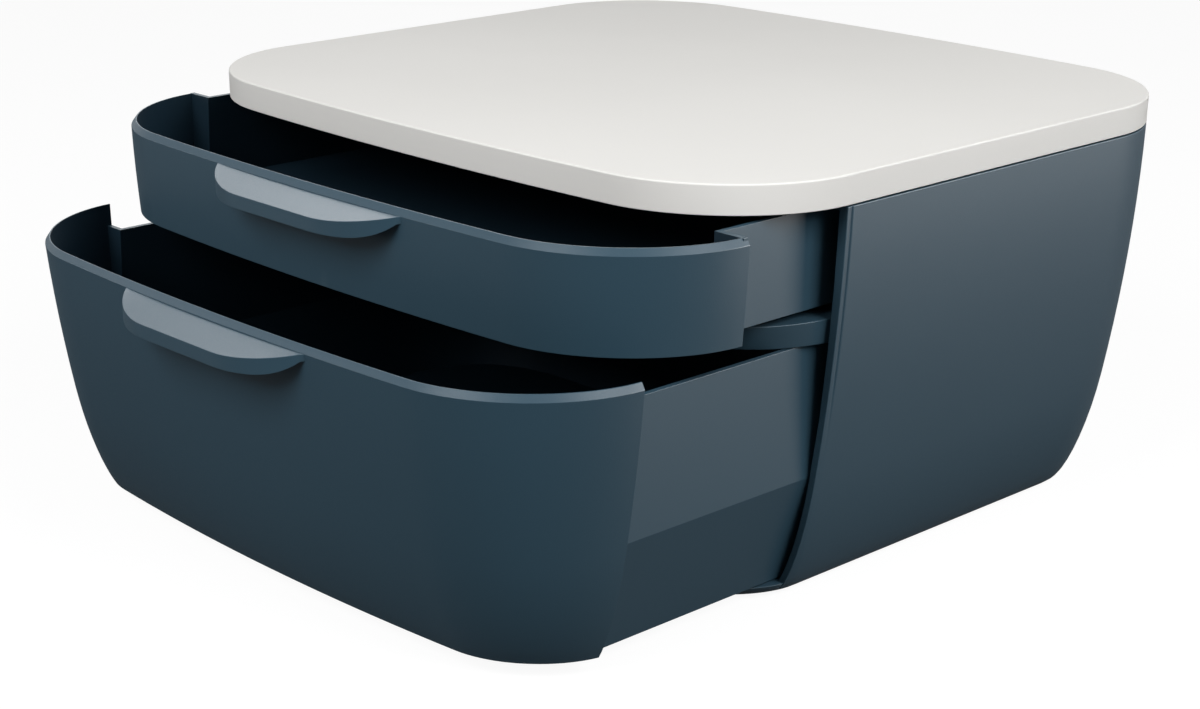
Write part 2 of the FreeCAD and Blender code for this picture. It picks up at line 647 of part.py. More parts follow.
def front_room(name, floor, rim):
    """The space behind a drawer's front wall."""
    return common(name + "_front_room", form(name + "_room_form", size("front_wall")),
                  ahead(name + "_room_span", floor, rim + size("over"),
                        -size("part_gap") - size("drawer_wall")))


def body_plan(z, half_x, join, back, corner):
    """Outline of a drawer's body behind its front: straight sides and soft back corners."""
    side_y = back - corner
    inner_x = half_x - corner
    hold = size("inner_hold")
    points = [FreeCAD.Vector(x, y, z) for x, y in (
        (-half_x, side_y), (-half_x, -join), (half_x, -join), (half_x, side_y),
        (inner_x, back), (-inner_x, back))]
    return Part.Wire([
        Part.makeLine(points[0], points[1]),
        Part.makeLine(points[1], points[2]),
        Part.makeLine(points[2], points[3]),
        soft_corner(points[3], FreeCAD.Vector(half_x, back, z), points[4], hold),
        Part.makeLine(points[4], points[5]),
        soft_corner(points[5], FreeCAD.Vector(-half_x, back, z), points[0], hold),
    ])


def handle_plan(wall_y, inset):
    """A handle's plan outline, drawn in by an inset, as a tall block."""
    low = -size("reach")
    lip = wall_y - size("handle_out") + inset
    half = size("handle_half") - inset
    sag = size("bow") * (half / size("width") * 2) ** 2
    rear = wall_y + size("handle_root")
    edges = []
    for side in (-1, 1):
        curve = Part.BezierCurve()
        curve.setPoles([
            FreeCAD.Vector(side * size("handle_flat"), lip, low),
            FreeCAD.Vector(side * (size("handle_bend") - inset), lip, low),
            FreeCAD.Vector(side * (size("handle_turn") - inset), wall_y - size("handle_turn_out") + inset, low),
            FreeCAD.Vector(side * half, wall_y + sag, low)])
        edges.append(curve.toShape())
        edges.append(Part.makeLine(FreeCAD.Vector(side * half, wall_y + sag, low),
                                   FreeCAD.Vector(side * half, rear, low)))
    for y, x in ((lip, size("handle_flat")), (rear, half)):
        edges.append(Part.makeLine(FreeCAD.Vector(-x, y, low), FreeCAD.Vector(x, y, low)))
    return Part.Face(Part.Wire(Part.__sortEdges__(edges))).extrude(FreeCAD.Vector(0, 0, 2 * size("reach")))


def handle(name, z, top_z):
    """A ledge under the rim whose top slopes outwards, with a turned-down lip."""
    wall_y = -(size("depth") / 2 - size("front_taper") * taper_at(z))
    out = size("handle_out")
    fall = size("handle_fall")
    under = size("handle_thick")
    lip_z = top_z - fall - size("handle_lip")
    rear_y = wall_y + size("handle_root")
    tip_y = wall_y - out - size("over")
    layer = across(name + "_layer", [(rear_y, lip_z), (rear_y, top_z), (wall_y, top_z),
                                     (wall_y - out, top_z - fall), (tip_y, top_z - fall), (tip_y, lip_z)])
    hollow = across(name + "_hollow", [(wall_y, lip_z - size("over")), (wall_y, top_z - under),
                                       (wall_y - out, top_z - fall - under), (tip_y, top_z - fall - under),
                                       (tip_y, lip_z - size("over"))])
    ledge = common(name + "_ledge", solid(name + "_plan", handle_plan(wall_y, 0)), layer)
    inner = solid(name + "_inner_plan", handle_plan(wall_y, size("handle_edge")))
    return cut(name, ledge, common(name + "_finger_room", inner, hollow))


def upper_drawer():
    """The shallow upper drawer."""
    low = size("upper_z")
    rim = size("upper_rim_z")
    wall = size("drawer_wall")
    half = size("drawer_x")
    back = size("upper_back")
    join = size("upper_join")
    corner = size("upper_corner")
    step = size("upper_step")
    body = solid("upper_body", Part.makeLoft([body_plan(low + step, half, join, back, corner),
                                              body_plan(rim, half, join, back, corner)], True, True))
    floor = low + size("drawer_floor")
    room = solid("upper_room", Part.makeLoft([body_plan(z, half - wall, join, back - wall, corner - wall)
                                              for z in (floor + step, rim + size("over"))], True, True))
    grip = handle("upper_handle", rim - size("handle_lip"), rim - size("handle_below"))
    outside = fuse("upper_outside", [bevelled_front("upper", low, rim), grip, body])
    drawer = cut_all("upper_drawer", outside, [front_room("upper", floor, rim), room])
    return bind(drawer, _at_y="-Size.upper_pull")


def lower_drawer():
    """The deep lower drawer, its body's walls slanting in below a crease."""
    low = size("lower_z")
    rim = size("lower_rim_z")
    wall = size("drawer_wall")
    join = size("lower_join")

    def plans(inset, floor, top):
        part = (floor - low) / (size("crease_z") - low)
        half = size("lower_x") + (size("drawer_x") - size("lower_x")) * part
        back = size("lower_low_back") + (size("lower_back") - size("lower_low_back")) * part
        corner = size("lower_low_corner") + (size("lower_corner") - size("lower_low_corner")) * part
        return [body_plan(floor, half - inset, join, back - inset, corner - inset),
                body_plan(size("crease_z"), size("drawer_x") - inset, join,
                          size("lower_back") - inset, size("lower_corner") - inset),
                body_plan(top, size("drawer_x") - inset, join,
                          size("lower_back") - inset, size("lower_corner") - inset)]

    body = solid("lower_body", Part.makeLoft(plans(0, low, size("lower_side_z")), True, True))
    floor = low + size("drawer_floor")
    room = solid("lower_room", Part.makeLoft(plans(wall, floor, rim + size("over")), True, True))
    grip = handle("lower_handle", rim - size("handle_lip"), rim - size("handle_below"))
    outside = fuse("lower_outside", [bevelled_front("lower", low, rim), grip, body])
    drawer = cut_all("lower_drawer", outside, [front_room("lower", floor, rim), room, lower_jog_clear()])
    return bind(drawer, _at_y="-Size.lower_pull")


def lower_jog_clear():
    """The space over the wall that closes the wrap's ends, where the shelf's edge passes."""
    low = size("lower_side_z")
    high = size("lower_rim_z") + size("over")
    inner = form("jog_inner", size("front_wall"))
    return common("jog_clear", inner, ahead("jog_span", low, high, size("over")))


# Feet

def foot_places():
    """Centres of the four rubber feet, as formulas."""
    ends = {"front": -1, "rear": 1}
    sides = {"left": -1, "right": 1}
    return {f"foot_{end}_{side}": (f"{sides[side]} * Size.foot_x", f"{ends[end]} * Size.foot_y")
            for end in ends for side in sides}


def foot(name, place):
    """A round rubber pad sunk a little into the base."""
    return post(name, place, "Size.foot_radius", "0", "Size.base_z + Size.foot_sunk")


# Assembly

def build():
    """Every sub-part, by the name of its file."""
    parts = {
        "casing": casing(),
        "top_plate": top_plate(),
        "top_frame": top_frame(),
        "top_screws": top_screws(),
        "middle_shelf": middle_shelf(),
        "shelf_screws": shelf_screws(),
        "upper_drawer": upper_drawer(),
        "lower_drawer": lower_drawer(),
    }
    for side, word in ((-1, "left"), (1, "right")):
        parts[f"upper_stop_{word}"] = upper_stop(f"upper_stop_{word}", side)
        parts[f"lower_stop_{word}"] = lower_stop(f"lower_stop_{word}", side)
    for name, place in foot_places().items():
        parts[name] = foot(name, place)
    return parts


def export(parts):
    """Recompute, check every object and write one STEP file for each sub-part."""
    doc.recompute()
    for item in doc.Objects:
        if "Invalid" in item.State or "Error" in item.State:
            raise RuntimeError(f"{item.Name} did not compute")
    os.makedirs("parts", exist_ok=True)
    for name, item in parts.items():
        item.Label = name
        shape = item.Shape
        if shape.isNull() or not shape.isValid() or not shape.Solids:
            raise RuntimeError(f"{name} has no valid solid")
        box_of = shape.BoundBox
        print(f"{name}: {len(shape.Solids)} solid(s), {shape.Volume / 1000:.1f} cm3, "
              f"x {box_of.XMin:.1f} {box_of.XMax:.1f}, y {box_of.YMin:.1f} {box_of.YMax:.1f}, "
              f"z {box_of.ZMin:.1f} {box_of.ZMax:.1f}")
        shape.exportStep(f"parts/{name}.step")


export(build())
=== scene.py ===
# %% [markdown]
# A desktop file box stands half open: a dark rounded casing, a pale top plate and two
# drawers that slide out of its front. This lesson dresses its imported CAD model. The
# frame gives every node, every moving body and the joints, all in metres, and each
# piece made here rides on one of those bodies.

# %% Load the frame
import bpy
import bmesh
import json
import math
from mathutils import Euler, Matrix, Vector

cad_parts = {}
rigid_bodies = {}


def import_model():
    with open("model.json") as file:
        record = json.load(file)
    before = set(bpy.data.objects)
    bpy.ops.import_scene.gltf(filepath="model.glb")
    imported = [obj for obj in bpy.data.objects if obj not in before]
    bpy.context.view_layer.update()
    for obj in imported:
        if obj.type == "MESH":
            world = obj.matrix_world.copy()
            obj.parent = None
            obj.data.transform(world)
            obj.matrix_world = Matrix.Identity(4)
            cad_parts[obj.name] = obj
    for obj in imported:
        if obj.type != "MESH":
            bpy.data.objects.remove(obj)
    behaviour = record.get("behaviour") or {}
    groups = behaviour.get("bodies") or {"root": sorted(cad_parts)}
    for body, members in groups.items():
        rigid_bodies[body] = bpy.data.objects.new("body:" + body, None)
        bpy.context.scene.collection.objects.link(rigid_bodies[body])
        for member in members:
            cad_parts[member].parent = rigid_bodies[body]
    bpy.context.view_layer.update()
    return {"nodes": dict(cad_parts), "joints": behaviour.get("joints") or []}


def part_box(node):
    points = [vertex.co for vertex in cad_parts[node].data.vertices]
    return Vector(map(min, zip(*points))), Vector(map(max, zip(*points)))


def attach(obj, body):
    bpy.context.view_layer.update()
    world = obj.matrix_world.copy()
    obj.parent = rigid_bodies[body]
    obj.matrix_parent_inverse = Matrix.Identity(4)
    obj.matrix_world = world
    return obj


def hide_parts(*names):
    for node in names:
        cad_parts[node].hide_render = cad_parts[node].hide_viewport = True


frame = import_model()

# %% [markdown]
# The overall sizes and the drawers' openings could be typed in again. They are read from
# the frame instead, so the pieces keep fitting if the model is packed again. The other
# values say how the moulding is drawn: a side that draws in slowly and then rolls under,
# soft plan corners, and a front and back that bow out a little.

# %% Driving sizes
PLATE_LOW, PLATE_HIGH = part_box("top_plate")
OPENING = {joint["child"]: -joint["range_m"][0] for joint in frame["joints"]}
UPPER_PULL = OPENING["upper_drawer_body"]
LOWER_PULL = OPENING["lower_drawer_body"]

WIDTH = PLATE_HIGH.x - PLATE_LOW.x
DEPTH = PLATE_HIGH.y - PLATE_LOW.y
TOP_Z = PLATE_HIGH.z
BASE_Z = 0.002
FLOOR_Z = 0.0064
CASING_Z = 0.1722
PLATE_Z = 0.1728

TAPER = 0.01855
TAPER_POWER = 1.946
FRONT_TAPER = 1.204
BACK_TAPER = 1.247
ROLL_IN = 0.00845
ROLL_RISE = 0.0512
CORNER = 0.0653
CORNER_LOSS = 0.96
CORNER_HOLD = 0.536
INNER_HOLD = 0.72
INSET_LOSS = 0.7
BOW = 0.00945
PART_TOP_Y = 0.0929
PART_LOW_Y = 0.0968
PART_GAP = 0.0005
print("width", round(WIDTH, 4), "depth", round(DEPTH, 4), "open", UPPER_PULL, LOWER_PULL)

# %% [markdown]
# The camera comes first, so that every later render can be held against the photo. It
# stands in front of the right-hand corner, a little above the top, and looks slightly
# down through a short telephoto lens. Its angles could be found by trial, but they come
# from a fit of the box's own edges, which gives the turn, the rise and the lens at once.

# %% Camera
VIEW_TURN = math.radians(46.226)
VIEW_RISE = math.radians(17.980)
VIEW_ROLL = math.radians(0.356)
CAMERA_PLACE = Vector((0.74922, -0.76862, 0.39553))
LENS_MM = 69.41
SENSOR_MM = 36

camera_data = bpy.data.cameras.new("camera")
camera_data.lens = LENS_MM
camera_data.sensor_width = SENSOR_MM
camera = bpy.data.objects.new("camera", camera_data)
camera.location = CAMERA_PLACE
level = Euler((math.pi / 2 - VIEW_RISE, 0, VIEW_TURN)).to_matrix()
look = level @ Matrix.Rotation(VIEW_ROLL, 3, "Z")
camera.rotation_euler = look.to_euler()
bpy.context.scene.collection.objects.link(camera)
bpy.context.scene.camera = camera
bpy.context.scene.view_settings.view_transform = "Standard"
print("camera", round(CAMERA_PLACE.length, 3), "m from the middle of the box's foot")

# %% [markdown]
# Seen from the side, the casing and both drawer fronts share one profile. It leans in a
# little all the way down and rolls under near the table. Two short formulas give the lean
# and the roll at any height, so all the walls made from them stay flush with each other.
# A third gives the slightly slanted plane where the closed fronts meet the casing.

# %% Side profile
def taper_at(z):
    rise = (z - BASE_Z) / (TOP_Z - BASE_Z)
    return TAPER * max(0.0, 1 - rise) ** TAPER_POWER


def roll_at(z):
    part = 1 - min(1.0, max(0.0, (z - BASE_Z) / ROLL_RISE))
    return ROLL_IN * (1 - math.sqrt(1 - part ** 2))


def part_y(z):
    rise = (z - BASE_Z) / (CASING_Z - BASE_Z)
    return -PART_LOW_Y + (PART_LOW_Y - PART_TOP_Y) * rise


print("drawn in at the foot by", round(taper_at(BASE_Z) + roll_at(BASE_Z), 4))

# %% [markdown]
# Seen from above, the box is a bowed rectangle with soft corners. Round arcs would be the
# quick way, but the real corners are fuller and leave the sides without a visible start.
# A cubic curve that holds on to its two tangents gives that. The points run from the
# middle of the front round the right side, the back and the left side.

# %% Plan outline
PLAN_STEPS = 10


def curve(start, near, far, end, steps):
    """Points after start and up to end on a cubic curve with two guide points."""
    points = []
    for step in range(1, steps + 1):
        way = step / steps
        rest = 1 - way
        points.append(start * rest ** 3 + near * (3 * rest ** 2 * way)
                      + far * (3 * rest * way ** 2) + end * way ** 3)
    return points


def soft_corner(start, meet, end, steps, hold):
    """A corner curve whose two end tangents cross at meet."""
    return curve(start, start.lerp(meet, hold), end.lerp(meet, hold), end, steps)


def rounded_plan(half_x, front, back, corner, hold):
    """A closed outline: bowed front and back, straight sides and soft corners."""
    inner_x = half_x - corner
    sag = BOW * (inner_x / half_x) ** 2
    slope = 2 * BOW * inner_x / half_x ** 2
    half = []
    for side, reach in ((-1, front), (1, back)):
        bowed = [Vector((inner_x * step / PLAN_STEPS,
                         side * (reach - sag * (step / PLAN_STEPS) ** 2)))
                 for step in range(PLAN_STEPS + 1)]
        meet = Vector((half_x, side * (reach - sag - slope * corner)))
        end = Vector((half_x, side * (reach - corner) * (1 - BOW / reach)))
        run = bowed + soft_corner(bowed[-1], meet, end, 2 * PLAN_STEPS, hold)
        half += run if side < 0 else run[::-1]
    mirrored = [Vector((-point.x, point.y)) for point in half[::-1]]
    return half + mirrored[1:-1]


def outline(z, inset=0.0):
    """The box's outline at a height, drawn in by an inset."""
    taper = taper_at(z)
    roll = roll_at(z)
    return rounded_plan(WIDTH / 2 - taper - roll - inset,
                        DEPTH / 2 - FRONT_TAPER * taper - roll - inset,
                        DEPTH / 2 - BACK_TAPER * taper - roll - inset,
                        CORNER - CORNER_LOSS * (taper + roll) - INSET_LOSS * inset, CORNER_HOLD)


print("outline points:", len(outline(FLOOR_Z)))

# %% [markdown]
# Some walls run only part of the way round: a drawer's front, and the casing behind it.
# They could be cut from a full ring, which leaves ragged edges. Here the outline itself is
# cut at the parting plane, and its stations are spaced evenly along what is left, so every
# height has its stations one above the other and the cut edge is clean.

# %% Runs along an outline
END_SPACE = 0.0015


def cross(a, b, y):
    return a.lerp(b, (y - a.y) / (b.y - a.y))


def run_of(points, y, front):
    """The part of a closed outline in front of y, or behind it, with its ends cut at y."""
    count = len(points)
    kept = [(point.y < y) == front for point in points]
    start = next(i for i in range(count) if kept[i] and not kept[i - 1])
    run = [cross(points[start - 1], points[start], y)]
    index = start
    while kept[index % count]:
        run.append(points[index % count])
        index += 1
    run.append(cross(points[(index - 1) % count], points[index % count], y))
    return run


def lengths_of(run):
    total = [0.0]
    for a, b in zip(run, run[1:]):
        total.append(total[-1] + (b - a).length)
    return total


def point_at(run, lengths, distance):
    """The point a distance along a run."""
    distance = min(max(distance, 0.0), lengths[-1])
    low, high = 0, len(lengths) - 1
    while high - low > 1:
        middle = (low + high) // 2
        low, high = (middle, high) if lengths[middle] <= distance else (low, middle)
    span = lengths[high] - lengths[low]
    return run[low].lerp(run[high], (distance - lengths[low]) / span if span else 0.0)


def stations(run, count, extra=()):
    """Points spaced evenly along a run, with extra ones at short distances from each end."""
    lengths = lengths_of(run)
    full = lengths[-1]
    first = max(extra) + END_SPACE if extra else 0.0
    even = [first + (full - 2 * first) * step / (count - 1) for step in range(count)]
    places = list(extra) + even + [full - place for place in reversed(extra)]
    return [point_at(run, lengths, place) for place in places]


front_run = run_of(outline(FLOOR_Z), part_y(FLOOR_Z), True)
print("round a drawer front at the floor:", round(lengths_of(front_run)[-1], 4))

# %% [markdown]
# Moulded walls are thin and bend in two directions. They could be extruded and trimmed
# face by face. Most of them here are one flat sheet of squares bent into place: one
# direction of the sheet runs round the plan, the other goes up the outside, over the rim
# and down the inside. Where the sheet's edges meet they are merged, and open ends are
# filled.

# %% Bent sheets
MERGE_DISTANCE = 1e-6


def bent_sheet(mesh, columns, rows, place):
    """Adds a sheet of columns by rows points to a bmesh, each moved to place(column, row)."""
    made = bmesh.ops.create_grid(mesh, x_segments=columns - 1, y_segments=rows - 1, size=1)
    for vertex in made["verts"]:
        column = round((vertex.co.x + 1) / 2 * (columns - 1))
        row = round((vertex.co.y + 1) / 2 * (rows - 1))
        vertex.co = place(column, row)
    return made["verts"]


def close_up(mesh, verts):
    """Merges the meeting edges of new vertices and fills what is open between them."""
    bmesh.ops.remove_doubles(mesh, verts=verts, dist=MERGE_DISTANCE)
    alive = [v for v in verts if v.is_valid]
    edges = {e for v in alive for e in v.link_edges if e.is_boundary}
    if edges:
        bmesh.ops.holes_fill(mesh, edges=list(edges), sides=0)
    faces = {f for v in alive for f in v.link_faces}
    bmesh.ops.recalc_face_normals(mesh, faces=list(faces))


def wall_sheet(mesh, rings):
    """A closed wall from rings: one ring of points for each step round its section."""
    columns, rows = len(rings[0]), len(rings)
    verts = bent_sheet(mesh, columns, rows, lambda column, row: rings[row][column])
    close_up(mesh, verts)


def ring(points, z):
    return [Vector((point.x, point.y, z)) for point in points]


def closed(points):
    return points + points[:1]


def plan_ring(z, inset=0.0):
    """The whole outline as a closed ring at a height."""
    return ring(closed(outline(z, inset)), z)


print("one ring of the outline:", len(plan_ring(FLOOR_Z)), "points")

# %% [markdown]
# Straight ribs and rails are plain blocks, alike on both sides of the box. A bevel modifier
# rounds the true edges of every piece but the top plate, because soft edges are what catch
# the light on moulded plastic. It could be a bevel in the mesh, but the modifier keeps the
# large faces flat by itself.

# %% Ribs and finished pieces
BEVEL_STEPS = 3


def block(mesh, low, high):
    """A plain block between two corners."""
    made = bmesh.ops.create_cube(mesh, size=1)
    low, high = Vector(low), Vector(high)
    bmesh.ops.scale(mesh, verts=made["verts"], vec=high - low)
    bmesh.ops.translate(mesh, verts=made["verts"], vec=(low + high) / 2)


def ribs_each_side(mesh, rows):
    """Straight ribs on both sides. A row is x, half width, low, high, front and back."""
    for side in (-1, 1):
        for x, half, low, high, front, back in rows:
            block(mesh, (side * x - half, front, low), (side * x + half, back, high))


def piece(name, mesh, body, bevel, replaces, angle=60, shift=0.0):
    """Turns a bmesh into a finished piece on a body, moved forwards by shift."""
    bmesh.ops.translate(mesh, verts=mesh.verts, vec=(0, -shift, 0))
    data = bpy.data.meshes.new(name)
    mesh.to_mesh(data)
    mesh.free()
    data.shade_smooth()
    item = bpy.data.objects.new(name, data)
    bpy.context.scene.collection.objects.link(item)
    if bevel:
        edge = item.modifiers.new("rounded edges", "BEVEL")
        edge.width = bevel
        edge.segments = BEVEL_STEPS
        edge.limit_method = "ANGLE"
        edge.angle_limit = math.radians(angle)
        edge.harden_normals = True
        edge.miter_outer = "MITER_ARC"
    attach(item, body)
    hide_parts(*replaces)
    print(name, len(data.polygons), "faces")
    return item


print("edges are rounded in", BEVEL_STEPS, "steps")

# %% [markdown]
# A wall needs its rings close together in the rolled base, where the side turns quickly,
# and wide apart above it. Even spacing would either show corners in the roll or waste
# faces on the straight part, so the roll is divided by angle and the rest by height.

# %% Heights of the rings
ROLL_STEPS = 9
OUTER_SPACING = 0.012
INNER_SPACING = 0.03
INNER_GAP = 0.001


def wall_heights(low, high, spacing=OUTER_SPACING):
    """Heights from low to high, denser inside the rolled base."""
    turn = BASE_Z + ROLL_RISE
    heights = []
    if low < turn:
        first = math.acos(1 - (low - BASE_Z) / ROLL_RISE)
        for step in range(ROLL_STEPS):
            angle = first + (math.pi / 2 - first) * step / ROLL_STEPS
            heights.append(BASE_Z + ROLL_RISE * (1 - math.cos(angle)))
    start = max(low, turn)
    count = max(1, math.ceil((high - start) / spacing))
    heights += [start + (high - start) * step / count for step in range(count + 1)]
    return heights


def inner_heights(low, rim):
    """Heights down the inside of a wall, from just under its rim."""
    return wall_heights(low, rim - INNER_GAP, INNER_SPACING)[::-1]


print("rings up the casing:", len(wall_heights(BASE_Z, CASING_Z)))

# %% [markdown]
# The casing is a single moulding: a base that carries on forwards under the lower drawer,
# and a wall that runs round both sides and the back. Its front edge is thicker than the
# rest and has a fine shadow groove just behind it, and its top turns in as a flange. The
# edge and the groove could be separate strips. They are extra stations in the same bent
# sheet, because on the real box they are one surface with no seam. The groove is written as
# its depth at five distances from the front edge. A hair, a tenth of a millimetre, keeps
# faces apart that would otherwise lie in one plane.

# %% Casing wall
HAIR = 0.0001
WALL = 0.0026
EDGE_WALL = 0.0044
EDGE_LOW = 0.0031
EDGE_FADE_Z = 0.080
EDGE_FACE = 0.0012
EDGE_DEPTH = 0.004
EDGE_STEP = 0.0003
FLANGE = 0.0105
FLANGE_THICK = 0.002
GROOVE = {0.0021: 0.0, 0.0024: 0.0004, 0.0027: 0.0006, 0.0030: 0.0004, 0.0033: 0.0}
GROOVE_Z = 0.078
GROOVE_FADE = 0.02
CASING_COLUMNS = 150
FLOOR_LAP = 0.0012
EDGE_PLACES = [0.0, EDGE_FACE] + list(GROOVE) + [EDGE_DEPTH, EDGE_DEPTH + EDGE_STEP]


def edge_wall_at(z):
    rise = max(0.0, (z - EDGE_FADE_Z) / (CASING_Z - EDGE_FADE_Z))
    return EDGE_LOW + (EDGE_WALL - EDGE_LOW) * rise


def casing_run(z, inset):
    return stations(run_of(outline(z, inset), part_y(z), False), CASING_COLUMNS, EDGE_PLACES)


def casing_ring(z, inset, thick_edge=0.0, groove=False):
    """Stations of the casing wall at a height, from one front edge round to the other."""
    plain = casing_run(z, inset)
    if thick_edge:
        near = casing_run(z, thick_edge)
        for index in range(len(EDGE_PLACES) - 1):
            plain[index] = near[index]
            plain[-1 - index] = near[-1 - index]
    if groove:
        fade = min(1.0, max(0.0, (z - GROOVE_Z) / GROOVE_FADE))
        for index, place in enumerate(EDGE_PLACES):
            depth = GROOVE.get(place, 0.0) * fade
            for spot in (index, len(plain) - 1 - index):
                plain[spot] = plain[spot] - Vector((math.copysign(depth, plain[spot].x), 0))
    return ring(plain, z)


def casing_wall(mesh):
    """Up the outside with its groove, in along the flange, and down the inside."""
    under = CASING_Z - FLANGE_THICK
    rings = [casing_ring(z, 0, groove=True) for z in wall_heights(BASE_Z + HAIR, CASING_Z)]
    rings.append(casing_ring(CASING_Z, FLANGE))
    rings.append(casing_ring(under, FLANGE))
    inner = [under] + inner_heights(FLOOR_Z - FLOOR_LAP, under)
    rings += [casing_ring(z, WALL, edge_wall_at(z)) for z in inner]
    rings.append(rings[0])
    wall_sheet(mesh, rings)


print("casing wall:", len(casing_run(CASING_Z, 0)), "stations round")

# %% [markdown]
# The base plate keeps the full outline in front, where it shows under the lower drawer,
# and is tucked inside the wall behind. Base and wall overlap within the plastic, so there
# is nothing to trim and no seam shows.

# %% Casing
BASE_TUCK = 0.0013


def casing_base(mesh):
    heights = [z for z in wall_heights(BASE_Z, BASE_Z + ROLL_RISE) if z < FLOOR_Z - 2 * HAIR]
    rings = []
    for z in heights + [FLOOR_Z]:
        joint_y = part_y(z) + 2 * HAIR
        pairs = zip(outline(z), outline(z, BASE_TUCK))
        rings.append(ring(closed([a if a.y < joint_y else b for a, b in pairs]), z))
    wall_sheet(mesh, rings)


mesh = bmesh.new()
casing_base(mesh)
casing_wall(mesh)
casing_shell = piece("casing_shell", mesh, "casing_body", bevel=0.0009,
                     replaces=["casing"])

# %% [markdown]
# Inside the casing, low rails and guide ribs lead the lower drawer, and ledges along the
# walls carry the shelf. They are plain ribs of the same moulding, so plain blocks that
# sink a little into the floor and the walls are enough.

# %% Rails, guides and ledges in the casing
SINK = 0.0005
RAIL_X = 0.110
RAIL_HALF = 0.003
RAIL_TOP = 0.0069
RAIL_FRONT = -0.084
RAIL_BACK = 0.100
GUIDE_X = 0.15875
GUIDE_HALF = 0.00125
GUIDE_RISE = 0.004
GUIDE_BACK = 0.068
SHELF_Z = 0.1143
LEDGE_X = 0.1748
LEDGE_HALF = 0.0042
LEDGE_THICK = 0.0055
LEDGE_FRONT = -0.080
LEDGE_BACK = 0.086
REAR_LEDGE_HALF = 0.080
REAR_LEDGE_FRONT = 0.141
REAR_LEDGE_BACK = 0.1565

mesh = bmesh.new()
ledge_z = SHELF_Z - LEDGE_THICK
ribs_each_side(mesh, (
    (RAIL_X, RAIL_HALF, FLOOR_Z - SINK, RAIL_TOP, RAIL_FRONT, RAIL_BACK),
    (GUIDE_X, GUIDE_HALF, FLOOR_Z - SINK, FLOOR_Z + GUIDE_RISE, RAIL_FRONT, GUIDE_BACK),
    (LEDGE_X, LEDGE_HALF, ledge_z, SHELF_Z, LEDGE_FRONT, LEDGE_BACK)))
block(mesh, (-REAR_LEDGE_HALF, REAR_LEDGE_FRONT, ledge_z),
      (REAR_LEDGE_HALF, REAR_LEDGE_BACK, SHELF_Z))
casing_ribs = piece("casing_ribs", mesh, "casing_body", bevel=0.0004,
                    replaces=["casing"])

# %% [markdown]
# A drawer is one moulding too. Its front wraps round both corners of the box and ends at
# the parting plane, where it steps in to a narrower body that runs inside the casing. One
# sheet can't follow that step, so the front wall, the body wall and the floor are three
# bent sheets that overlap inside the plastic, and no seam shows between them.

# %% Drawer fronts
FRONT_WALL = 0.0024
RIM_DROP = 0.0028
RIM_IN = 0.0019
FRONT_COLUMNS = 120


def front_run_at(z, inset, count, back=PART_GAP):
    """Stations of a drawer front at a height, ending a little in front of the casing."""
    return stations(run_of(outline(z, inset), part_y(z) - back, True), count)


def drawer_front(mesh, low, rim):
    """The wrap-round front: up the outside, over the bevelled rim and down the inside."""
    around = [(z, 0) for z in wall_heights(low, rim - RIM_DROP)]
    around += [(rim, RIM_IN), (rim, FRONT_WALL)]
    around += [(z, FRONT_WALL) for z in inner_heights(low, rim)]
    rings = [ring(front_run_at(z, inset, FRONT_COLUMNS), z) for z, inset in around]
    wall_sheet(mesh, closed(rings))


print("rim bevel:", RIM_IN, "in over", RIM_DROP, "down")

# %% [markdown]
# Behind the step, the body wall runs straight back and round two large corners, and the
# floor closes it from below. Both use the same list of plan points, so the floor always
# reaches into the wall.

# %% Drawer bodies and floors
BODY_WALL = 0.0025
BODY_X = 0.1694
BODY_SIDE_STEPS = 8
BODY_CORNER_STEPS = 18
BODY_BACK_STEPS = 4
FLOOR_COLUMNS = 60


def body_path(z, size, inset, wrap_inset=None):
    """Plan points of a drawer's body: step, side, back corner, back, and the other side."""
    half_x, back, corner = (length - inset for length in size)
    start_y = part_y(z) - PART_GAP - inset
    side_y = back - corner
    right = []
    if wrap_inset is not None:
        wrap = run_of(outline(z, wrap_inset), part_y(z) - PART_GAP, True)
        right.append(Vector((wrap[-1].x, start_y)))
    right += [Vector((half_x, start_y + (side_y - start_y) * step / BODY_SIDE_STEPS))
              for step in range(BODY_SIDE_STEPS + 1)]
    right += soft_corner(right[-1], Vector((half_x, back)), Vector((half_x - corner, back)),
                         BODY_CORNER_STEPS, INNER_HOLD)
    right += [Vector(((half_x - corner) * (1 - step / BODY_BACK_STEPS), back))
              for step in range(1, BODY_BACK_STEPS + 1)]
    left = [Vector((-point.x, point.y)) for point in right[-2::-1]]
    return right + left


def drawer_body(mesh, heights, size_at):
    """The body wall behind the front, its steps ending inside the front wall."""
    top, wall_low = heights[-1], heights[0] + INNER_GAP
    inner = [top] + [z for z in heights[::-1] if wall_low < z < top] + [wall_low]
    around = [(z, 0) for z in heights] + [(z, BODY_WALL) for z in inner]
    rings = [ring(body_path(z, size_at(z), inset, FRONT_WALL / 2), z) for z, inset in around]
    wall_sheet(mesh, closed(rings))


def drawer_floor(mesh, low, high, size_at):
    """The floor, which ends halfway inside the walls."""
    rings = []
    for z in (low, high):
        front = front_run_at(z, FRONT_WALL / 2, FLOOR_COLUMNS, PART_GAP + BODY_WALL / 2)
        rings.append(ring(closed(front + body_path(z, size_at(z), BODY_WALL / 2)), z))
    wall_sheet(mesh, rings)


print("drawer body:", 2 * BODY_X, "wide")

# %% [markdown]
# The handle is a ledge under the rim, wide enough for four fingers. Its outline is a flat
# arch, straight in the middle and drawn back to the wall at its ends. It could be a
# rounded block that is hollowed out. Bending its section round the arch instead gives the
# lip's outer face, the top that falls away to the outside, and the hollow underneath for
# the fingers, in one thin wall like the rest of the moulding.

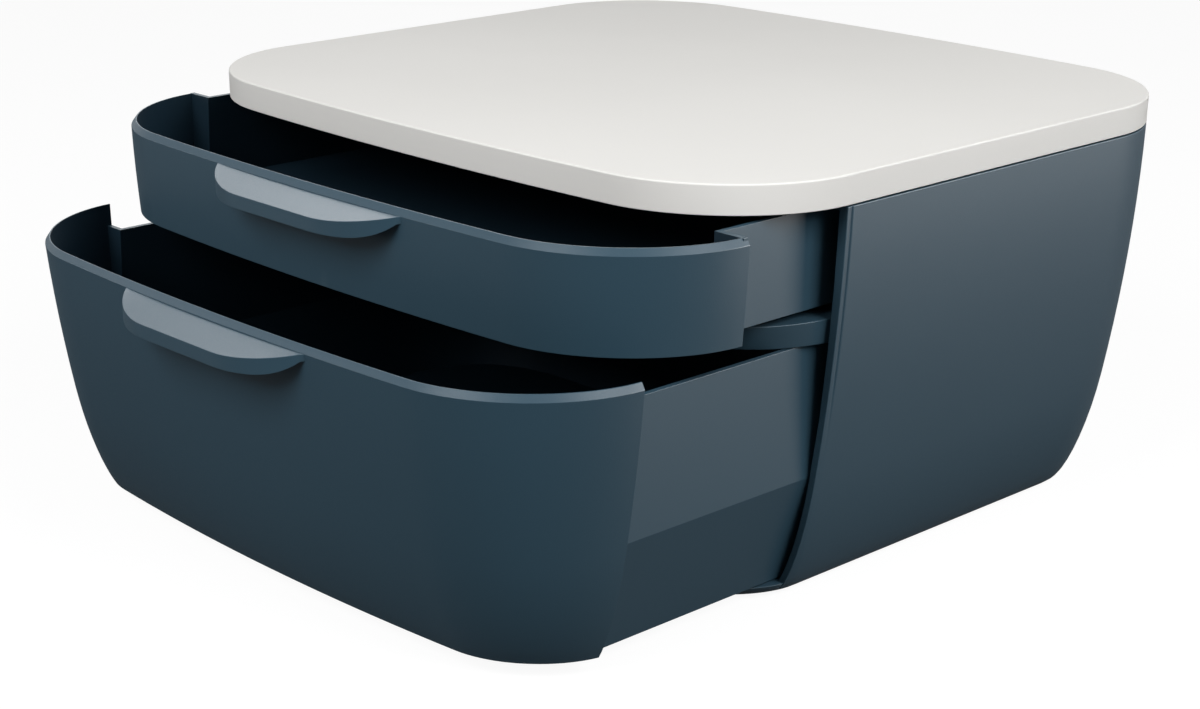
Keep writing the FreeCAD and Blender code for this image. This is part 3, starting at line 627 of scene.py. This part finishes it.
# %% Handle outline
HANDLE_HALF = 0.062
HANDLE_FLAT = 0.024
HANDLE_BEND = 0.040
HANDLE_TURN = 0.054
HANDLE_TURN_OUT = 0.008
HANDLE_OUT = 0.0165
HANDLE_CURVE_STEPS = 20
HANDLE_FLAT_STEPS = 4


def handle_plan(wall_y, inset):
    """A handle's outer line in plan, from its left end round to its right end."""
    lip_y = wall_y - HANDLE_OUT + inset
    half = HANDLE_HALF - inset
    sag = BOW * (half / WIDTH * 2) ** 2
    right = curve(Vector((HANDLE_FLAT, lip_y)), Vector((HANDLE_BEND - inset, lip_y)),
                  Vector((HANDLE_TURN - inset, wall_y - HANDLE_TURN_OUT + inset)),
                  Vector((half, wall_y + sag)), HANDLE_CURVE_STEPS)
    flat = [Vector((HANDLE_FLAT * step / HANDLE_FLAT_STEPS, lip_y))
            for step in range(-HANDLE_FLAT_STEPS, HANDLE_FLAT_STEPS + 1)]
    return [Vector((-point.x, point.y)) for point in right[::-1]] + flat + right


print("handle:", 2 * HANDLE_HALF, "wide, stands out", HANDLE_OUT)

# %% [markdown]
# The ledge falls a little towards its lip, and the lip's lower edge curves up to the ledge
# where the ends turn back, so the lip fades out against the wall. A lip of even depth would
# be simpler, but it ends in a hard upright edge that the real one doesn't have.

# %% Handle
HANDLE_BELOW = 0.0029
HANDLE_FALL = 0.0041
HANDLE_LIP = 0.006
HANDLE_THICK = 0.0026
HANDLE_EDGE = 0.0024
HANDLE_ROOT = 0.0018
HANDLE_RUN_OUT = 0.0003


def handle(mesh, rim):
    """A ledge under the rim: a sloping top, a turned-down lip and a hollow for the fingers."""
    top = rim - HANDLE_BELOW
    wall_y = -(DEPTH / 2 - FRONT_TAPER * taper_at(rim - HANDLE_LIP))
    low = top - HANDLE_FALL - HANDLE_LIP
    outer = handle_plan(wall_y, 0)
    inner = handle_plan(wall_y, HANDLE_EDGE)

    def out_at(point):
        return max(0.0, (wall_y - point.y) / HANDLE_OUT)

    def sloped(points, drop):
        return [Vector((p.x, p.y, top - drop - HANDLE_FALL * out_at(p))) for p in points]

    def at_rear(points, z):
        return [Vector((p.x, wall_y + HANDLE_ROOT, z)) for p in points]

    def lip_foot(points):
        foot = []
        for p in points:
            out = min(1.0, out_at(p))
            ledge = top - HANDLE_FALL * out - HANDLE_THICK - HANDLE_RUN_OUT
            foot.append(Vector((p.x, p.y, ledge + (low - ledge) * math.sin(out * math.pi / 2))))
        return foot

    section = [lip_foot(outer), sloped(outer, 0), at_rear(outer, top),
               at_rear(inner, top - HANDLE_THICK), sloped(inner, HANDLE_THICK), lip_foot(inner)]
    wall_sheet(mesh, closed(section))


print("handle lip:", HANDLE_LIP, "deep")

# %% [markdown]
# The shallow upper drawer. Its body's underside sits a touch higher than its front, so it
# clears the shelf, and its walls are upright. It is modelled shut, where its front has to
# meet the casing, and then moved forwards by the opening in the frame.

# %% Upper drawer
UPPER_Z = 0.1271
UPPER_RIM_Z = 0.1699
UPPER_STEP = 0.0014
UPPER_BACK = 0.1474
UPPER_CORNER = 0.070
DRAWER_FLOOR = 0.0026
DRAWER_BEVEL = 0.00025


def drawer_mesh(low, rim, body_heights, size_at):
    """One drawer, shut: handle, wrap-round front, body and floor."""
    mesh = bmesh.new()
    handle(mesh, rim)
    drawer_front(mesh, low, rim)
    drawer_body(mesh, body_heights, size_at)
    under = body_heights[0]
    drawer_floor(mesh, under + HAIR, under + DRAWER_FLOOR, size_at)
    return mesh


def upper_size(z):
    return BODY_X, UPPER_BACK, UPPER_CORNER


mesh = drawer_mesh(UPPER_Z, UPPER_RIM_Z, [UPPER_Z + UPPER_STEP, UPPER_RIM_Z], upper_size)
upper_tray = piece("upper_tray", mesh, "upper_drawer_body", bevel=DRAWER_BEVEL,
                   replaces=["upper_drawer"], angle=25, shift=UPPER_PULL)

# %% [markdown]
# The deep lower drawer. Below a crease its side and back walls slant in, so the body stays
# clear of the casing's rolled base. The crease is a gentle fold, and its bevel starts at a
# smaller angle than the upper drawer's, so that it still shows as the sharp change of tone
# of the real one. The body wall is lower than the front's rim, because the shelf passes
# over it when the drawer is shut.

# %% Lower drawer
LOWER_Z = 0.0072
LOWER_RIM_Z = 0.1241
LOWER_SIDE_Z = 0.1140
CREASE_Z = 0.056
LOWER_FOOT_X = 0.155
LOWER_FOOT_BACK = 0.120
LOWER_FOOT_CORNER = 0.066
BACK_SLANT = 0.018
CORNER_GROWTH = 0.006


def lower_size(z):
    part = min(1.0, (z - LOWER_Z) / (CREASE_Z - LOWER_Z))
    return (LOWER_FOOT_X + (BODY_X - LOWER_FOOT_X) * part, LOWER_FOOT_BACK + BACK_SLANT * part,
            LOWER_FOOT_CORNER + CORNER_GROWTH * part)


mesh = drawer_mesh(LOWER_Z, LOWER_RIM_Z, [LOWER_Z, CREASE_Z, LOWER_SIDE_Z], lower_size)
lower_tray = piece("lower_tray", mesh, "lower_drawer_body", bevel=DRAWER_BEVEL,
                   replaces=["lower_drawer"], angle=14, shift=LOWER_PULL)

# %% [markdown]
# The top plate is a pale, thick-looking cap, flush with the casing, with a crisp upper edge
# and a hollow underside. Rings from the hollow, over the skirt and up to a small rounded
# lip make it in one sheet. The weighted normals keep its large faces flat right up to the
# lip, where plain smooth shading would make them look waxy.

# %% Top plate
LIP_ROUND = 0.0008
LIP_STEPS = 8
LIP_BREAK = 0.0004
SKIRT = 0.003
PLATE_THICK = 0.0028

mesh = bmesh.new()
rings = [plan_ring(TOP_Z - PLATE_THICK, SKIRT), plan_ring(PLATE_Z, SKIRT),
         plan_ring(PLATE_Z, LIP_BREAK), plan_ring(PLATE_Z + LIP_BREAK)]
for step in range(LIP_STEPS + 1):
    bend = math.pi / 2 * step / LIP_STEPS
    lip_z = TOP_Z - LIP_ROUND * (1 - math.sin(bend))
    rings.append([Vector((p.x, p.y, lip_z))
                  for p in plan_ring(TOP_Z, LIP_ROUND * (1 - math.cos(bend)))])
wall_sheet(mesh, rings)
top_plate_cap = piece("top_plate_cap", mesh, "casing_body", bevel=0,
                      replaces=["top_plate"])
top_plate_cap.modifiers.new("flat faces stay flat", "WEIGHTED_NORMAL")

# %% [markdown]
# The dark pan under the plate closes its hollow: a rim that lies inside the plate's skirt,
# and a shallow tray that hangs just above the upper drawer and holds it down. The same
# outline, drawn in, makes it fit without measuring.

# %% Top frame
PAN_Z = 0.1703
FRAME_RIM = 0.0018
FRAME_GAP = 0.0003
PAN_INSET = 0.0145
PAN_WALL = 0.002

mesh = bmesh.new()
rim_inset = SKIRT + FRAME_GAP
section = ((PAN_Z + PAN_WALL, PAN_INSET + PAN_WALL), (PLATE_Z + FRAME_RIM, PAN_INSET + PAN_WALL),
           (PLATE_Z + FRAME_RIM, rim_inset), (PLATE_Z + HAIR, rim_inset),
           (PLATE_Z + HAIR, PAN_INSET), (PAN_Z, PAN_INSET))
wall_sheet(mesh, [plan_ring(z, inset) for z, inset in section])
top_pan = piece("top_pan", mesh, "casing_body", bevel=0.0004,
                replaces=["top_frame"])

# %% [markdown]
# The shelf between the drawers is a flat tray turned upside down: a thin upper wall with a
# skirt round it and ribs beneath. Two rails on top carry the upper drawer, and a guide
# beside each keeps it straight. A solid slab would look the same from above, but its front
# edge and underside show when a drawer is pulled out.

# %% Middle shelf
SHELF_TOP_Z = 0.1249
SHELF_X = 0.177
SHELF_REACH = 0.150
SHELF_SLANT = 0.005
SHELF_CORNER = 0.075
SHELF_THICK = 0.0026
SHELF_SKIRT = 0.0024


def shelf_ring(z, inset=0.0):
    low = (SHELF_TOP_Z - z) / (SHELF_TOP_Z - SHELF_Z)
    points = rounded_plan(SHELF_X - inset, SHELF_REACH - SHELF_SLANT * low - inset,
                          SHELF_REACH - inset, SHELF_CORNER - INSET_LOSS * inset, INNER_HOLD)
    return ring(closed(points), z)


mesh = bmesh.new()
shelf_ceiling = SHELF_TOP_Z - SHELF_THICK
wall_sheet(mesh, [shelf_ring(shelf_ceiling, SHELF_SKIRT), shelf_ring(SHELF_Z, SHELF_SKIRT),
                  shelf_ring(SHELF_Z), shelf_ring(SHELF_TOP_Z)])
print("shelf skirt and upper wall:", len(mesh.faces), "faces")

# %% Ribs and rails of the shelf
SHELF_RIB = 0.0024
SIDE_RIB_X = 0.1684
SIDE_RIB_FRONT = -0.090
MIDDLE_RIB_FRONT = -0.120
MIDDLE_RIB_BACK = 0.130
SHELF_RAIL_TOP = 0.1282
SHELF_GUIDE_X = 0.17155
CROSS_RIB_HALF = 0.170
STOP_RIB_Y = -0.0778
REAR_RIB_Y = 0.0388

rib_top = shelf_ceiling + SINK
ribs_each_side(mesh, (
    (SIDE_RIB_X, SHELF_RIB / 2, SHELF_Z, rib_top, SIDE_RIB_FRONT, RAIL_BACK),
    (RAIL_X, SHELF_RIB / 2, SHELF_Z, rib_top, MIDDLE_RIB_FRONT, MIDDLE_RIB_BACK),
    (RAIL_X, RAIL_HALF, SHELF_TOP_Z - SINK, SHELF_RAIL_TOP, RAIL_FRONT, RAIL_BACK),
    (SHELF_GUIDE_X, GUIDE_HALF, SHELF_TOP_Z - SINK, SHELF_TOP_Z + GUIDE_RISE,
     LEDGE_FRONT, LEDGE_BACK)))
for y in (STOP_RIB_Y - SHELF_RIB, REAR_RIB_Y):
    block(mesh, (-CROSS_RIB_HALF, y, SHELF_Z), (CROSS_RIB_HALF, y + SHELF_RIB, rib_top))
shelf_tray = piece("shelf_tray", mesh, "casing_body", bevel=0.0005,
                   replaces=["middle_shelf"])

# %% [markdown]
# Four round rubber pads carry the box. Each is a short disc, a touch narrower below, with a
# rounded lower edge. A cone with almost equal ends is the shortest way to that shape, and
# the frame says where each pad sits.

# %% Feet
FOOT_TAPER = 0.96
FOOT_SIDES = 48


def foot(name):
    low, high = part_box(name)
    radius = (high.x - low.x) / 2
    mesh = bmesh.new()
    bmesh.ops.create_cone(mesh, cap_ends=True, segments=FOOT_SIDES, radius1=radius * FOOT_TAPER,
                          radius2=radius, depth=high.z - low.z)
    bmesh.ops.translate(mesh, verts=mesh.verts, vec=(low + high) / 2)
    return piece(name + "_pad", mesh, "casing_body", bevel=0.0005,
                 replaces=[name], angle=40)


FEET = [foot(f"foot_{end}_{side}") for end in ("front", "rear") for side in ("left", "right")]

# %% [markdown]
# The moulded plastic is dark blue grey with a satin skin. One colour and one roughness
# would look like paint. A very fine grain breaks up its shine and its surface, slow changes
# in colour keep large faces from looking flat, and outer edges can be rubbed a little
# lighter. One recipe serves every finish here, because they differ only in colour, gloss
# and grain, and the steel of the screws is made metallic afterwards.

# %% Plastic recipe
SLOW_SCALE = 7.0
RUB_START, RUB_END = 0.52, 0.62
NOISE_LOW, NOISE_HIGH = 0.3, 0.7
GLOSSIER, DULLER = 0.04, 0.05
GRAIN_DEPTH = 0.0002


def node(tree, kind, place, **values):
    """A new node at a place, with values for its sockets."""
    item = tree.nodes.new(kind)
    item.location = place
    for name, value in values.items():
        item.inputs[name.replace("_", " ")].default_value = value
    return item


def empty_tree(owner):
    """Turns on an owner's nodes and clears them."""
    owner.use_nodes = True
    owner.node_tree.nodes.clear()
    return owner.node_tree


def moulded_plastic(name, colour, rubbed, shaded, roughness, grain, bump, specular=0.5, edge=0.0):
    """Satin moulded plastic with grain, slow colour change and rubbed edges."""
    material = bpy.data.materials.new(name)
    tree = empty_tree(material)
    link = tree.links.new
    out = node(tree, "ShaderNodeOutputMaterial", (900, 0))
    shader = node(tree, "ShaderNodeBsdfPrincipled", (600, 0), Specular_IOR_Level=specular)
    link(shader.outputs["BSDF"], out.inputs["Surface"])
    place = node(tree, "ShaderNodeTexCoord", (-900, 0))
    slow = node(tree, "ShaderNodeTexNoise", (-650, 200),
                Scale=SLOW_SCALE, Detail=3.0, Roughness=0.5)
    fine = node(tree, "ShaderNodeTexNoise", (-650, -200),
                Scale=grain, Detail=4.0, Roughness=0.6)
    for texture in (slow, fine):
        link(place.outputs["Object"], texture.inputs["Vector"])
    tint = node(tree, "ShaderNodeValToRGB", (-400, 200))
    stops = zip(tint.color_ramp.elements, (NOISE_LOW, NOISE_HIGH), (shaded, colour))
    for stop, position, shade in stops:
        stop.position = position
        stop.color = (*shade, 1)
    link(slow.outputs["Fac"], tint.inputs["Fac"])
    shape = node(tree, "ShaderNodeNewGeometry", (-650, 450))
    rub = node(tree, "ShaderNodeMapRange", (-400, 450),
               From_Min=RUB_START, From_Max=RUB_END, To_Max=edge)
    link(shape.outputs["Pointiness"], rub.inputs["Value"])
    mix = node(tree, "ShaderNodeMix", (200, 200))
    mix.data_type = "RGBA"
    link(rub.outputs["Result"], mix.inputs[0])
    link(tint.outputs["Color"], mix.inputs[6])
    mix.inputs[7].default_value = (*rubbed, 1)
    link(mix.outputs[2], shader.inputs["Base Color"])
    shine = node(tree, "ShaderNodeMapRange", (0, -100), From_Min=NOISE_LOW, From_Max=NOISE_HIGH,
                 To_Min=roughness - GLOSSIER, To_Max=roughness + DULLER)
    link(fine.outputs["Fac"], shine.inputs["Value"])
    link(shine.outputs["Result"], shader.inputs["Roughness"])
    relief = node(tree, "ShaderNodeBump", (300, -300), Strength=bump, Distance=GRAIN_DEPTH)
    link(fine.outputs["Fac"], relief.inputs["Height"])
    link(relief.outputs["Normal"], shader.inputs["Normal"])
    print(name, "roughness", roughness)
    return material


# %% [markdown]
# The finishes. The casing, shelf and drawers share one dark satin plastic. The drawers are
# duller inside, and their darker colour there is painted shade, standing in for the shade
# deep inside the trays. The plate is off white with almost no gloss. The small parts
# underneath are plain black plastic, rubber and zinc-plated steel. Each could have a recipe
# of its own, but as sets of values they are easier to compare.

# %% Finishes
BLUE_GREY = dict(colour=(0.027, 0.062, 0.090), rubbed=(0.10, 0.15, 0.18),
                 shaded=(0.025, 0.058, 0.085), roughness=0.42, grain=1800, bump=0.2,
                 specular=0.3, edge=0.25)
CASING_PLASTIC = moulded_plastic("dark casing plastic", **BLUE_GREY)
DRAWER_PLASTIC = moulded_plastic("dark drawer plastic", **BLUE_GREY)
# Painted shade: the drawers' insides are coloured darker than their outsides, standing in for the
# shade deep inside the trays.
INNER_PAINTED_SHADE = moulded_plastic(
    "dull inner plastic with painted shade", colour=(0.008, 0.020, 0.032), rubbed=(0.03, 0.05, 0.06),
    shaded=(0.007, 0.018, 0.028), roughness=0.6, grain=1800, bump=0.3, specular=0.1)
FRAME_PLASTIC = moulded_plastic(
    "frame plastic", colour=(0.010, 0.016, 0.021), rubbed=(0.05, 0.06, 0.07),
    shaded=(0.008, 0.013, 0.017), roughness=0.55, grain=1500, bump=0.3)
TOP_PLASTIC = moulded_plastic(
    "off white plastic", colour=(0.81, 0.80, 0.775), rubbed=(0.85, 0.84, 0.81),
    shaded=(0.79, 0.78, 0.755), roughness=0.6, grain=1500, bump=0.1, specular=0.02, edge=0.1)
RUBBER = moulded_plastic(
    "foot rubber", colour=(0.012, 0.012, 0.013), rubbed=(0.05, 0.05, 0.05),
    shaded=(0.009, 0.009, 0.010), roughness=0.8, grain=2500, bump=0.5)
STOP_PLASTIC = moulded_plastic(
    "stop plastic", colour=(0.02, 0.026, 0.03), rubbed=(0.06, 0.07, 0.08),
    shaded=(0.016, 0.02, 0.025), roughness=0.5, grain=1500, bump=0.3)
SCREW_STEEL = moulded_plastic(
    "screw steel", colour=(0.55, 0.55, 0.56), rubbed=(0.7, 0.7, 0.7),
    shaded=(0.42, 0.42, 0.43), roughness=0.32, grain=900, bump=0.2)
SCREW_STEEL.node_tree.nodes["Principled BSDF"].inputs["Metallic"].default_value = 1

# %% [markdown]
# Each piece gets its finish, and so do the screws and stops that the CAD model carries
# over. A tray could be split into an outer and an inner piece. Marking the faces that look
# inwards, the inner side of the step and the floor does the same and keeps one mesh. These
# faces get the darker inner plastic, which paints the shade inside the trays.

# %% Paint the pieces
# These limits pick the inner walls, step and floor of a tray that take the painted shade.
UPRIGHT = 0.5
FLOOR_UP = 0.7
STEP_FACING = 0.9
BELOW_RIM = 0.02
STEP_REACH = 0.13


def paint(item, *materials):
    item.data.materials.clear()
    for material in materials:
        item.data.materials.append(material)


def mark_painted_inner_shade(item, middle_y, rim):
    """Gives a tray's inner walls, the inner side of its step and its floor the second material of
    its list, which paints shade inside the tray.
    """
    marked = 0
    for face in item.data.polygons:
        outward = Vector((face.center.x, face.center.y - middle_y, 0)).dot(face.normal)
        upright = abs(face.normal.z) < UPRIGHT
        wall = upright and outward < 0
        step = upright and face.normal.y < -STEP_FACING and face.center.y - middle_y > -STEP_REACH
        floor = face.normal.z > FLOOR_UP and face.center.z < rim - BELOW_RIM
        if wall or step or floor:
            face.material_index = 1
            marked += 1
    print(item.name, marked, "inner faces")


for item in (casing_shell, casing_ribs, shelf_tray):
    paint(item, CASING_PLASTIC)
for item, pull, rim in ((upper_tray, UPPER_PULL, UPPER_RIM_Z),
                        (lower_tray, LOWER_PULL, LOWER_RIM_Z)):
    paint(item, DRAWER_PLASTIC, INNER_PAINTED_SHADE)
    mark_painted_inner_shade(item, -pull, rim)
paint(top_plate_cap, TOP_PLASTIC)
paint(top_pan, FRAME_PLASTIC)
for item in FEET:
    paint(item, RUBBER)
for name, item in frame["nodes"].items():
    if "screws" in name:
        paint(item, SCREW_STEEL)
    elif "stop" in name:
        paint(item, STOP_PLASTIC)

# %% [markdown]
# A white floor, as for a catalogue picture. Lighting it until it is white would wash out
# the box. It glows only for the camera and for anything seen through glass, shows faintly
# in the box's own shine, and otherwise returns little light, which keeps the lower edges
# as dark as they are in the photo. Its diffuse part still takes the box's shadow.

# %% Floor
FLOOR_HALF = 6
FLOOR_GLOW = 0.93
FLOOR_GREY = 0.10
FLOOR_IN_SHINE = 0.05


def white_rays(tree, glossy_share):
    """1 for the camera's rays and those through glass, and a share of that for a shine's."""
    link = tree.links.new
    path = node(tree, "ShaderNodeLightPath", (-800, 300))
    shine = node(tree, "ShaderNodeMath", (-600, 150))
    shine.operation = "MULTIPLY"
    shine.inputs[1].default_value = glossy_share
    link(path.outputs["Is Glossy Ray"], shine.inputs[0])
    seen = path.outputs["Is Camera Ray"]
    for across, other in ((-400, shine.outputs[0]), (-200, path.outputs["Is Transmission Ray"])):
        larger = node(tree, "ShaderNodeMath", (across, 300))
        larger.operation = "MAXIMUM"
        link(seen, larger.inputs[0])
        link(other, larger.inputs[1])
        seen = larger.outputs[0]
    return seen


def two_ways(tree, chooser, plain, white, output):
    """Ends a tree in its plain shader, or in the white one where the chooser is 1."""
    link = tree.links.new
    mix = node(tree, "ShaderNodeMixShader", (400, 0))
    for index, socket in enumerate((chooser, plain.outputs[0], white.outputs[0])):
        link(socket, mix.inputs[index])
    out = node(tree, output, (600, 0))
    link(mix.outputs[0], out.inputs["Surface"])


def floor_material():
    material = bpy.data.materials.new("studio floor")
    tree = empty_tree(material)
    grey = (FLOOR_GREY, FLOOR_GREY, FLOOR_GREY, 1)
    dull = node(tree, "ShaderNodeBsdfDiffuse", (-100, -100), Color=grey)
    glow = node(tree, "ShaderNodeEmission", (-100, 100), Color=(1, 1, 1, 1), Strength=FLOOR_GLOW)
    both = node(tree, "ShaderNodeAddShader", (150, 50))
    tree.links.new(glow.outputs[0], both.inputs[0])
    tree.links.new(dull.outputs[0], both.inputs[1])
    two_ways(tree, white_rays(tree, FLOOR_IN_SHINE), dull, both, "ShaderNodeOutputMaterial")
    return material


mesh = bmesh.new()
bmesh.ops.create_grid(mesh, x_segments=1, y_segments=1, size=FLOOR_HALF)
floor_data = bpy.data.meshes.new("floor")
mesh.to_mesh(floor_data)
mesh.free()
floor = bpy.data.objects.new("floor", floor_data)
bpy.context.scene.collection.objects.link(floor)
paint(floor, floor_material())
print("floor:", 2 * FLOOR_HALF, "m across")

# %% [markdown]
# The light is that of a plain studio. Two soft lamps stand level with each other at the
# right and in front, so both visible sides are lit alike and the top a little more. One
# large lamp above would be simpler, but it leaves the sides too dark.

# %% Lamps
AIM = Vector((0, 0, 0.1))


def area_lamp(name, place, size, watts):
    """A soft rectangular lamp that points at the box."""
    data = bpy.data.lights.new(name, "AREA")
    data.shape = "RECTANGLE"
    data.size, data.size_y = size
    data.energy = watts
    lamp = bpy.data.objects.new(name, data)
    lamp.location = place
    lamp.rotation_euler = (AIM - Vector(place)).to_track_quat("-Z", "Y").to_euler()
    bpy.context.scene.collection.objects.link(lamp)
    print(name, watts, "W")
    return lamp


area_lamp("right lamp", place=(1.45, 0.0, 1.15), size=(0.9, 0.9), watts=26)
area_lamp("front lamp", place=(0.0, -1.45, 1.15), size=(0.9, 0.9), watts=21)

# %% [markdown]
# The soft sheen of the plastic comes from large pale panels round the box, as from a
# photographer's reflectors. Brighter lamps would give it too, but they would bleach the
# colours. The panels show only in the shine, so the colours stay as written.

# %% Reflector panels
def shine_only(lamp):
    lamp.visible_diffuse = False
    lamp.visible_transmission = False
    lamp.visible_volume_scatter = False


shine_only(area_lamp("right panel", place=(1.25, 1.0, 0.42), size=(0.8, 0.5), watts=62))
shine_only(area_lamp("front panel", place=(-1.2, -1.2, 0.30), size=(0.8, 0.4), watts=5))
shine_only(area_lamp("ledge panel", place=(-1.05, 0.6, 1.35), size=(0.9, 0.8), watts=20))

# %% [markdown]
# The world is the white paper behind the floor. A plain white world would be simpler, but
# it would light the box from all sides. Here the camera, shines and glass see full white,
# and the box itself is lit only dimly, so its shadows stay deep.

# %% World
WORLD_DIM = 0.07
WORLD_WHITE = 1.0

world = bpy.data.worlds.new("studio")
bpy.context.scene.world = world
tree = empty_tree(world)
dim = node(tree, "ShaderNodeBackground", (-200, 0), Color=(1, 1, 1, 1), Strength=WORLD_DIM)
bright = node(tree, "ShaderNodeBackground", (-200, -150), Color=(1, 1, 1, 1), Strength=WORLD_WHITE)
two_ways(tree, white_rays(tree, 1), dim, bright, "ShaderNodeOutputWorld")
print("world light on the box:", WORLD_DIM)
